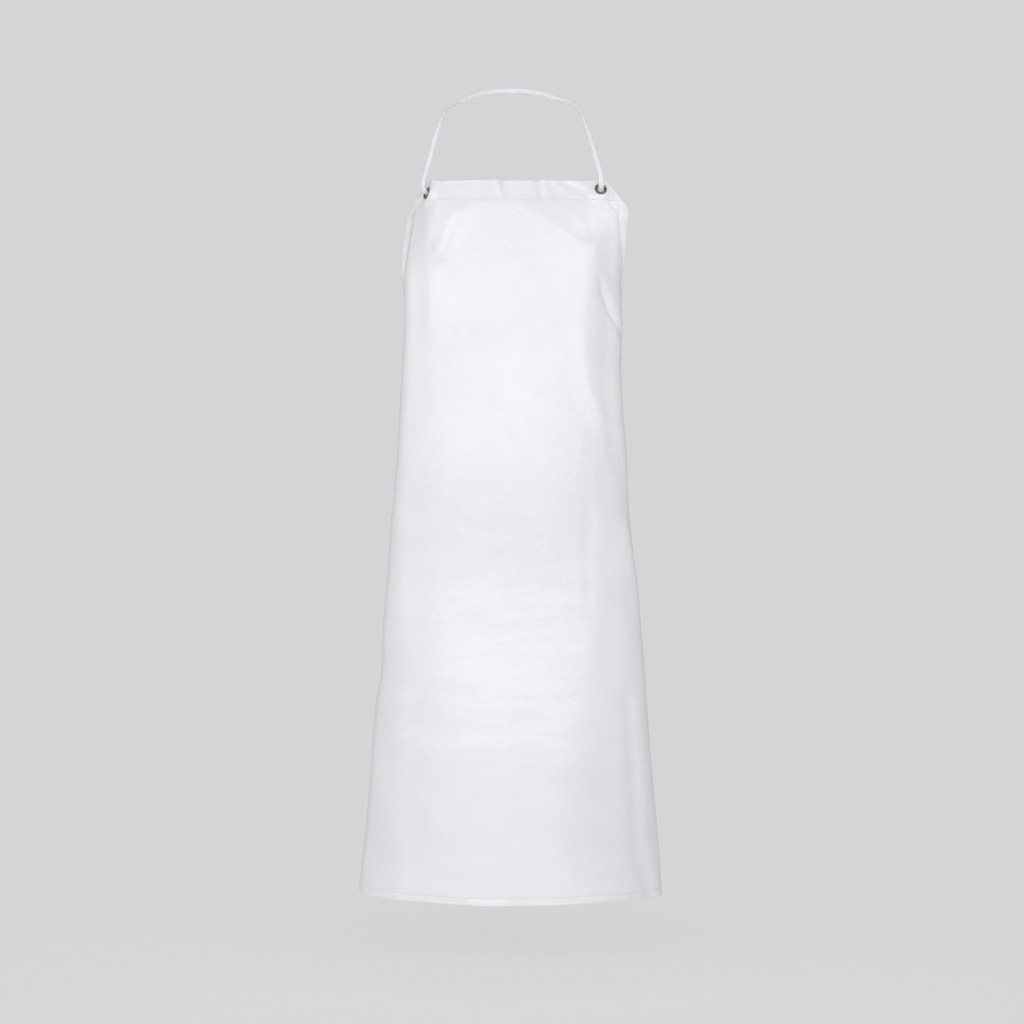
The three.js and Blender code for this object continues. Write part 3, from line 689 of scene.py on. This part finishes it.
# painted shade: a warm brownish grey laid on the cloth's colour in the hollow beside the left armhole hem
painted_hollow_shade = coated.node("ShaderNodeAttribute", attribute_name="painted_hollow_shade")["Fac"]
coat_white = coated.between(blotch.rise(0.3, 0.7), (0.824, 0.825, 0.851, 1), (0.868, 0.869, 0.886, 1))
coat_white = coated.between(worn_edge * 0.35, coat_white, (0.78, 0.775, 0.775, 1))
grain = coated.bump(threads * 0.25 + pebble * 0.5, 0.00005, 0.5)
wrinkles = creases + hangs + crinkle * 0.3 - (1 - lines) * lined * 0.09
coated_finish = coated.surface(
    # the base colour carries the painted warm shade of the hollow beside the left armhole hem
    Base_Color=coated.between(painted_hollow_shade * 0.7, coat_white, (0.76, 0.7, 0.65, 1)),
    Roughness=0.12 + crinkle * 0.08 + blotch * 0.06,
    Normal=coated.bump(wrinkles, 0.0022, 0.8, grain),
)

backing = Finish("coated_cloth_back")
at = backing.place()
u, v = backing.flat()
warp = (u * (2 * np.pi / WEAVE_PITCH)).maths("SINE")
weft = (v * (2 * np.pi / WEAVE_PITCH)).maths("SINE")
weave = warp * weft
fluff = backing.noise(at, 700.0, 3.0, 0.6)
shade = backing.noise(at, 12.0, 3.0)
raised = weave.rise(-1.0, 0.6) * 0.8 + shade * 0.2
backing_finish = backing.surface(
    Base_Color=backing.between(raised, (0.66, 0.63, 0.6, 1), (0.82, 0.795, 0.77, 1)),
    Roughness=0.82 + fluff * 0.12,
    Normal=backing.bump(weave * 0.6 + fluff * 0.8, 0.00015, 0.7),
)

panel_marks = {"inside": np.tile(panel_inside.ravel() / 1000, 2), "painted_hollow_shade": np.tile(panel_painted_hollow_shade.ravel(), 2)}
panel = add_piece(
    "coated_apron_panel", np.concatenate([front, back]), panel_quads, coated_finish, panel_flat,
    marks=panel_marks, parts=panel_parts, more=[backing_finish],
)  # fmt: skip
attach(panel, "root")
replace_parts(panel, "apron_panel")

# ---- Hems: every edge of the panel is turned to the back, its raw edge tucked under, and sewn
# down. The fold at the edge is round, and the strip behind is two layers thick.

# in from the edge as a share of the strip, out past the edge, and forward: the lip sunk in the
# front, the round of the fold, the strip behind with the dent of its seam, and its tucked edge
HEM_SECTION = np.array([
    (0.000, -1.90, -0.30), (0.000, -1.40, 0.00), (0.000, -0.90, 0.09), (0.000, -0.35, 0.14),
    (0.000, 0.25, 0.10),
    (0.000, 0.70, -0.25), (0.000, 0.95, -0.95), (0.000, 0.95, -1.75), (0.000, 0.65, -2.45),
    (0.000, 0.20, -2.80), (0.060, 0.00, -2.95), (0.250, 0.00, -3.00), (0.500, 0.00, -3.02),
    (0.750, 0.00, -2.95), (0.850, 0.00, -2.70), (0.880, 0.00, -2.62), (0.910, 0.00, -2.72),
    (0.970, 0.00, -2.85), (1.010, 0.00, -2.60), (1.020, 0.00, -2.00), (1.010, 0.00, -1.35),
    (0.980, 0.00, -1.05), (0.880, 0.00, -0.95), (0.700, 0.00, -1.00), (0.400, 0.00, -1.00),
    (0.150, 0.00, -1.00), (0.010, 0.00, -0.95), (0.000, 0.05, -0.60), (0.000, -0.60, -0.35),
])  # fmt: skip
FIRST_BACKING, LAST_BACKING = 21, 25  # the points whose quads show the woven backing


def hem(name, node, along, depth, flat_point):
    """A hem carried along an edge: its section stands square to the cloth, and reaches in from the
    edge by a share of its depth. flat_point gives across and drop, along the edge and inwards."""
    inwards, out, forward = (HEM_SECTION[:, k] for k in range(3))
    along_grid, in_grid = np.meshgrid(along, inwards * depth - np.clip(out, None, 0), indexing="ij")
    out = np.clip(out, 0, None)
    across, drop = flat_point(along_grid, in_grid)
    points, square = worn(across, drop), square_to(worn, across, drop)
    edge = worn(*flat_point(along_grid, np.zeros_like(in_grid)))
    outwards = unit(edge - worn(*flat_point(along_grid, np.full_like(in_grid, 1.0))))
    points = points + outwards * out[None, :, None] + square * forward[None, :, None]
    numbers = np.arange(len(along) * len(HEM_SECTION)).reshape(len(along), -1)
    quads = quads_of(np.hstack([numbers, numbers[:, :1]]))
    flat = np.stack([across, drop], axis=-1) / 1000
    flat = quads_of(np.concatenate([flat, flat[:, :1]], axis=1))
    marks = {"inside": (in_grid - out[None, :]) / 1000 + 0.004}
    point = np.arange(len(HEM_SECTION))
    behind = np.tile((point >= FIRST_BACKING) & (point <= LAST_BACKING), len(along) - 1)
    piece = add_piece(name, points, quads, coated_finish, flat, (numbers[0], numbers[-1][::-1]), marks,
                      behind, [backing_finish])  # fmt: skip
    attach(piece, "root")
    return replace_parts(piece, node)


def top_edge(along, inwards):
    return along * half_width(inwards), inwards


def lower_edge(along, inwards):
    return along * half_width(APRON_LENGTH - inwards), APRON_LENGTH - inwards


def left_edge(along, inwards):
    return inwards * edge_stretch(along) - half_width(along), along


def right_edge(along, inwards):
    return half_width(along) - inwards * edge_stretch(along), along


HEM_GAP = 0.5
bib_drops = np.linspace(TOP_HEM + HEM_GAP, WAIST_DROP, 100)
skirt_drops = np.linspace(WAIST_DROP + HEM_GAP, APRON_LENGTH - LOWER_HEM - HEM_GAP, 260)
hems = [
    hem("top_hem_fold", "top_hem", np.linspace(-1, 1, 220), TOP_HEM, top_edge),
    hem("lower_hem_fold", "lower_hem", np.linspace(-1, 1, 240), LOWER_HEM, lower_edge),
    hem("armhole_hem_fold_left", "armhole_hem_left", bib_drops, SIDE_HEM, left_edge),
    hem("armhole_hem_fold_right", "armhole_hem_right", bib_drops, SIDE_HEM, right_edge),
    hem("side_hem_fold_left", "side_hem_left", skirt_drops, SIDE_HEM, left_edge),
    hem("side_hem_fold_right", "side_hem_right", skirt_drops, SIDE_HEM, right_edge),
]

# ---- Stitches: white sewing thread, about five stitches to 25 mm, along the inner edge of every
# hem. Each stitch shows on the front and again behind, and goes down a needle hole at its ends,
# where the thread's colour is painted dark as the shade in the hole.

STITCH_PITCH, STITCH_LENGTH, STITCH_WIDTH, STITCH_HEIGHT = 4.8, 4.0, 1.3, 0.9
STITCH_LIFT = 0.1
STITCH_RINGS = np.array([-0.97, -0.7, -0.25, 0.25, 0.7, 0.97])  # -1 and 1 are its two ends
STITCH_SIDES = 6
HEM_BEHIND = 2.7  # how far behind the front face the strip of a hem ends
SEAM_START = 1.5


def stitches(name, node, across, drop):
    """A row of stitches along a line on the flat cloth: each is a lens, an ellipse's section that
    grows and shrinks as the root of 1 - t^2 from one end of the stitch to the other."""
    line = worn(across, drop)
    along = np.concatenate([[0.0], np.cumsum(np.linalg.norm(np.diff(line, axis=0), axis=1))])
    middles = np.arange(STITCH_PITCH, along[-1] - STITCH_PITCH / 2, STITCH_PITCH)
    a, d = np.interp(middles, along, across), np.interp(middles, along, drop)
    centre, square = worn(a, d), square_to(worn, a, d)
    run = unit(np.gradient(centre, axis=0))
    wide = unit(np.cross(run, square))
    t = STITCH_RINGS[:, None]
    turn = 2 * np.pi * np.arange(STITCH_SIDES) / STITCH_SIDES
    swell = np.sqrt(1 - t**2)
    shape = [t * STITCH_LENGTH / 2 + 0 * turn, swell * STITCH_WIDTH / 2 * np.cos(turn),
             swell * STITCH_HEIGHT / 2 * np.sin(turn)]  # fmt: skip
    numbers = np.arange(t.size * STITCH_SIDES).reshape(-1, STITCH_SIDES)
    one = quads_of(np.hstack([numbers, numbers[:, :1]]))
    ends = np.vstack([numbers[0][[0, 1, 2, 5]], numbers[0][[2, 3, 4, 5]],
                      numbers[-1][[5, 2, 1, 0]], numbers[-1][[5, 4, 3, 2]]])  # fmt: skip
    one = np.vstack([one, ends])
    groups = []
    for lift in (STITCH_LIFT, -HEM_BEHIND - STITCH_LIFT):
        at = (centre + square * lift)[:, None, None]
        groups.append(at + sum(s[None, :, :, None] * axis[:, None, None]
                               for s, axis in zip(shape, (run, wide, square))))  # fmt: skip
    points = np.concatenate(groups).reshape(-1, 3)
    number = len(points) // numbers.size
    quads = (one[None] + np.arange(number)[:, None, None] * numbers.size).reshape(-1, 4)
    ends_mark = np.tile(np.repeat(np.abs(STITCH_RINGS), STITCH_SIDES), number)
    piece = add_piece(name, points, quads, thread_finish, marks={"end": ends_mark})
    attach(piece, "root")
    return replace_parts(piece, node)


thread = Finish("sewing_thread")
at = thread.place()
twist = thread.noise(at, 3000.0, 2.0)
# painted shade: the ends of each stitch are dark grey, for the shade down its needle holes
needle_hole_shade = thread.node("ShaderNodeAttribute", attribute_name="end")["Fac"].rise(0.64, 0.9)
bobbin_white = thread.between(thread.noise(at, 60.0), (0.78, 0.78, 0.79, 1), (0.9, 0.9, 0.91, 1))
thread_finish = thread.surface(
    Base_Color=thread.between(needle_hole_shade, bobbin_white, (0.24, 0.23, 0.25, 1)),
    Roughness=0.55 + twist * 0.3,
    Normal=thread.bump(twist, 0.0002, 0.6),
)
share = np.linspace(-1, 1, 700)
for part, seam_at in (("top", TOP_HEM - STITCH_INSET), ("lower", APRON_LENGTH - LOWER_HEM + STITCH_INSET)):
    drop = np.full(share.size, seam_at)
    stitches(f"{part}_hem_seam", f"{part}_hem_stitches", share * (half_width(drop) - SEAM_START), drop)
inset = np.full(900, SIDE_HEM - STITCH_INSET)
for side_name, edge_line in (("left", left_edge), ("right", right_edge)):
    for part, top, low in (("armhole", TOP_HEM + 1, WAIST_DROP),
                           ("side", WAIST_DROP + 1, APRON_LENGTH - LOWER_HEM - 1)):  # fmt: skip
        down = np.linspace(top, low, inset.size)
        stitches(f"{part}_seam_{side_name}", f"{part}_stitches_{side_name}", *edge_line(down, inset))

# ---- Eyelets and washers: pressed metal with an antique nickel finish. The barrel goes through the
# cloth, its domed flange sits on the front, and its end is rolled over a flat washer behind.

RING_OUTSIDE, BARREL_INSIDE, BARREL_OUTSIDE = 10.3, 6.0, 6.6  # radii
WASHER_INSIDE, WASHER_HALF, WASHER_GAP = 6.7, 0.35, 0.2
EYELET_STEPS = 72

nickel = Finish("antique_nickel")
at = nickel.place()
tarnish = nickel.noise(at, 260.0, 4.0, 0.6).rise(0.42, 0.62)
scratches = nickel.noise(at, 1500.0, 2.0)
nickel_finish = nickel.surface(
    Base_Color=nickel.between(tarnish, (0.36, 0.31, 0.25, 1), (0.11, 0.08, 0.055, 1)),
    Metallic=1.0,
    Roughness=0.2 + tarnish * 0.22 + scratches * 0.08,
    Normal=nickel.bump(scratches, 0.00005, 0.4),
)


def arc(radius, height, reach_r, reach_h, start, end, count=9):
    """Points of a quarter or half round: an ellipse's centre, its two reaches, and two angles."""
    turn = np.radians(np.linspace(start, end, count))
    return np.stack([radius + reach_r * np.cos(turn), height + reach_h * np.sin(turn)], axis=1)


def turned(name, node, profile, centre, square):
    """A profile of (radius, height) turned about the outward direction of the cloth."""
    wide = unit(np.cross(square, (0.0, 0.0, 1.0)))
    high = np.cross(square, wide)
    turn = 2 * np.pi * np.arange(EYELET_STEPS) / EYELET_STEPS
    ring = np.cos(turn)[:, None] * wide + np.sin(turn)[:, None] * high
    points = centre + profile[None, :, :1] * ring[:, None] + profile[None, :, 1:] * square
    numbers = np.arange(points.shape[0] * points.shape[1]).reshape(points.shape[:2])
    numbers = np.vstack([numbers, numbers[:1]])
    piece = add_piece(name, points, quads_of(np.hstack([numbers, numbers[:, :1]])), nickel_finish)
    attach(piece, "root")
    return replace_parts(piece, node)


for node, (across, drop, stack) in EYELETS.items():
    spot = np.array([across]), np.array([drop])
    centre, square = cloth(*spot)[0], square_to(worn, *spot)[0]
    behind = -(stack + WASHER_GAP)
    # the dome of the flange from its rim to the throat, the barrel, its rolled end, and its outside
    eyelet_profile = np.vstack([
        arc(8.75, 0.15, RING_OUTSIDE - 8.75, 1.75, 0, 90), arc(7.9, 0.15, 0.9, 1.75, 100, 128, 4),
        arc(7.4, 0.4, 7.4 - BARREL_INSIDE, 1.4, 150, 180, 4), [(BARREL_INSIDE, behind - 0.6)],
        arc(7.3, behind - 0.75, 7.3 - BARREL_INSIDE, 0.9, 190, 330, 8), [(8.2, behind - 0.95)],
        [(BARREL_OUTSIDE, behind - 0.85), (BARREL_OUTSIDE, 0.1), (9.9, 0.08)],
    ])  # fmt: skip
    turned(node.replace("_eyelet_", "_eyelet_rim_"), node, eyelet_profile, centre, square)
    level, half = behind - WASHER_HALF, WASHER_HALF
    washer_profile = np.vstack([
        arc(RING_OUTSIDE - half, level, half, half, 90, -90, 6),
        arc(WASHER_INSIDE + half, level, half, half, 270, 90, 6),
    ])  # fmt: skip
    washer_node = node.replace("eyelet", "washer")
    turned(washer_node.replace("_washer_", "_washer_ring_"), washer_node, washer_profile, centre, square)

# ---- Room: a pale floor below the hem that fades into an even pale surround; one wide soft light in
# front, level with the nape, and weaker ones on the left, behind, and low in front.

FLOOR_LEVEL, FLOOR_REACH, FLOOR_CELLS = -1500.0, 2400.0, 24
floor_finish = Finish("pale_floor")
apart = floor_finish.node("ShaderNodeSeparateXYZ", {0: floor_finish.place()})
away = (apart["X"] * apart["X"] + apart["Y"] * apart["Y"]) ** 0.5
plaster = floor_finish.noise(floor_finish.place(), 20.0, 4.0)
shader = floor_finish.node("ShaderNodeBsdfPrincipled", {
    "Base Color": floor_finish.between(plaster, (0.45, 0.45, 0.45, 1), (0.47, 0.47, 0.47, 1)),
    "Roughness": 1.0,
    "Specular IOR Level": 0.0,
    "Emission Color": (1.0, 1.0, 1.0, 1),
    "Emission Strength": 0.35,
})  # fmt: skip
clear = floor_finish.node("ShaderNodeBsdfTransparent")
mixed = floor_finish.node("ShaderNodeMixShader", {0: away.rise(0.3, 1.6), 1: shader[0], 2: clear[0]})
floor_finish.node("ShaderNodeOutputMaterial", {"Surface": mixed[0]})
span = np.linspace(-FLOOR_REACH, FLOOR_REACH, FLOOR_CELLS + 1)
fx, fy = np.meshgrid(span, span)
floor_points = np.stack([fx, fy, np.full_like(fx, FLOOR_LEVEL)], axis=-1)
floor_quads = quads_of(np.arange(fx.size).reshape(fx.shape))
floor_mesh = bpy.data.meshes.new("floor")
floor_mesh.from_pydata((floor_points.reshape(-1, 3) / 1000).tolist(), [], floor_quads.tolist())
floor_mesh.materials.append(floor_finish.material)
floor = bpy.data.objects.new("floor", floor_mesh)
bpy.context.scene.collection.objects.link(floor)

# the surround lights and reflects a little stronger from the left; the camera sees one even tone
world = bpy.data.worlds.new("pale_surround")
world.use_nodes = True
nodes, links = world.node_tree.nodes, world.node_tree.links
surround = nodes["Background"]
tone = nodes.new("ShaderNodeMix")
tone.data_type = "RGBA"
tone.inputs[6].default_value = (0.525, 0.525, 0.545, 1)
tone.inputs[7].default_value = (0.5, 0.5, 0.525, 1)
where = nodes.new("ShaderNodeSeparateXYZ")
links.new(nodes.new("ShaderNodeTexCoord").outputs["Generated"], where.inputs[0])
links.new(where.outputs["X"], tone.inputs[0])
links.new(tone.outputs[2], surround.inputs["Color"])
shown = nodes.new("ShaderNodeBackground")
shown.inputs["Color"].default_value = (0.665, 0.665, 0.665, 1)
either, rays = nodes.new("ShaderNodeMixShader"), nodes.new("ShaderNodeLightPath")
links.new(rays.outputs["Is Camera Ray"], either.inputs[0])
links.new(surround.outputs[0], either.inputs[1])
links.new(shown.outputs[0], either.inputs[2])
links.new(either.outputs[0], nodes["World Output"].inputs["Surface"])
bpy.context.scene.world = world

for name, spot, aim, size, power, in_gloss in (
    ("wide_light", (0.0, -3.4, -0.01), (0.0, 0.0, -0.01), (9.6, 1.49), 88.5, True),
    ("low_fill", (0.0, -3.0, -1.9), (0.0, 0.0, -0.9), (3.0, 1.0), 8.0, False),
    ("left_light", (-4.4, -1.6, -0.4), (0.0, 0.0, -0.7), (2.4, 1.6), 10.0, True),
    ("back_fill", (0.0, 3.4, -0.3), (0.0, 0.0, -0.7), (3.0, 2.0), 30.0, False),
):
    lamp = bpy.data.lights.new(name, "AREA")
    lamp.shape, lamp.size, lamp.size_y, lamp.energy = "RECTANGLE", *size, power
    holder = bpy.data.objects.new(name, lamp)
    holder.location = spot
    holder.rotation_euler = (Vector(aim) - Vector(spot)).to_track_quat("-Z", "Y").to_euler()
    holder.visible_camera = False
    holder.visible_glossy = in_gloss
    bpy.context.scene.collection.objects.link(holder)

bpy.context.scene.view_settings.view_transform = "Standard"
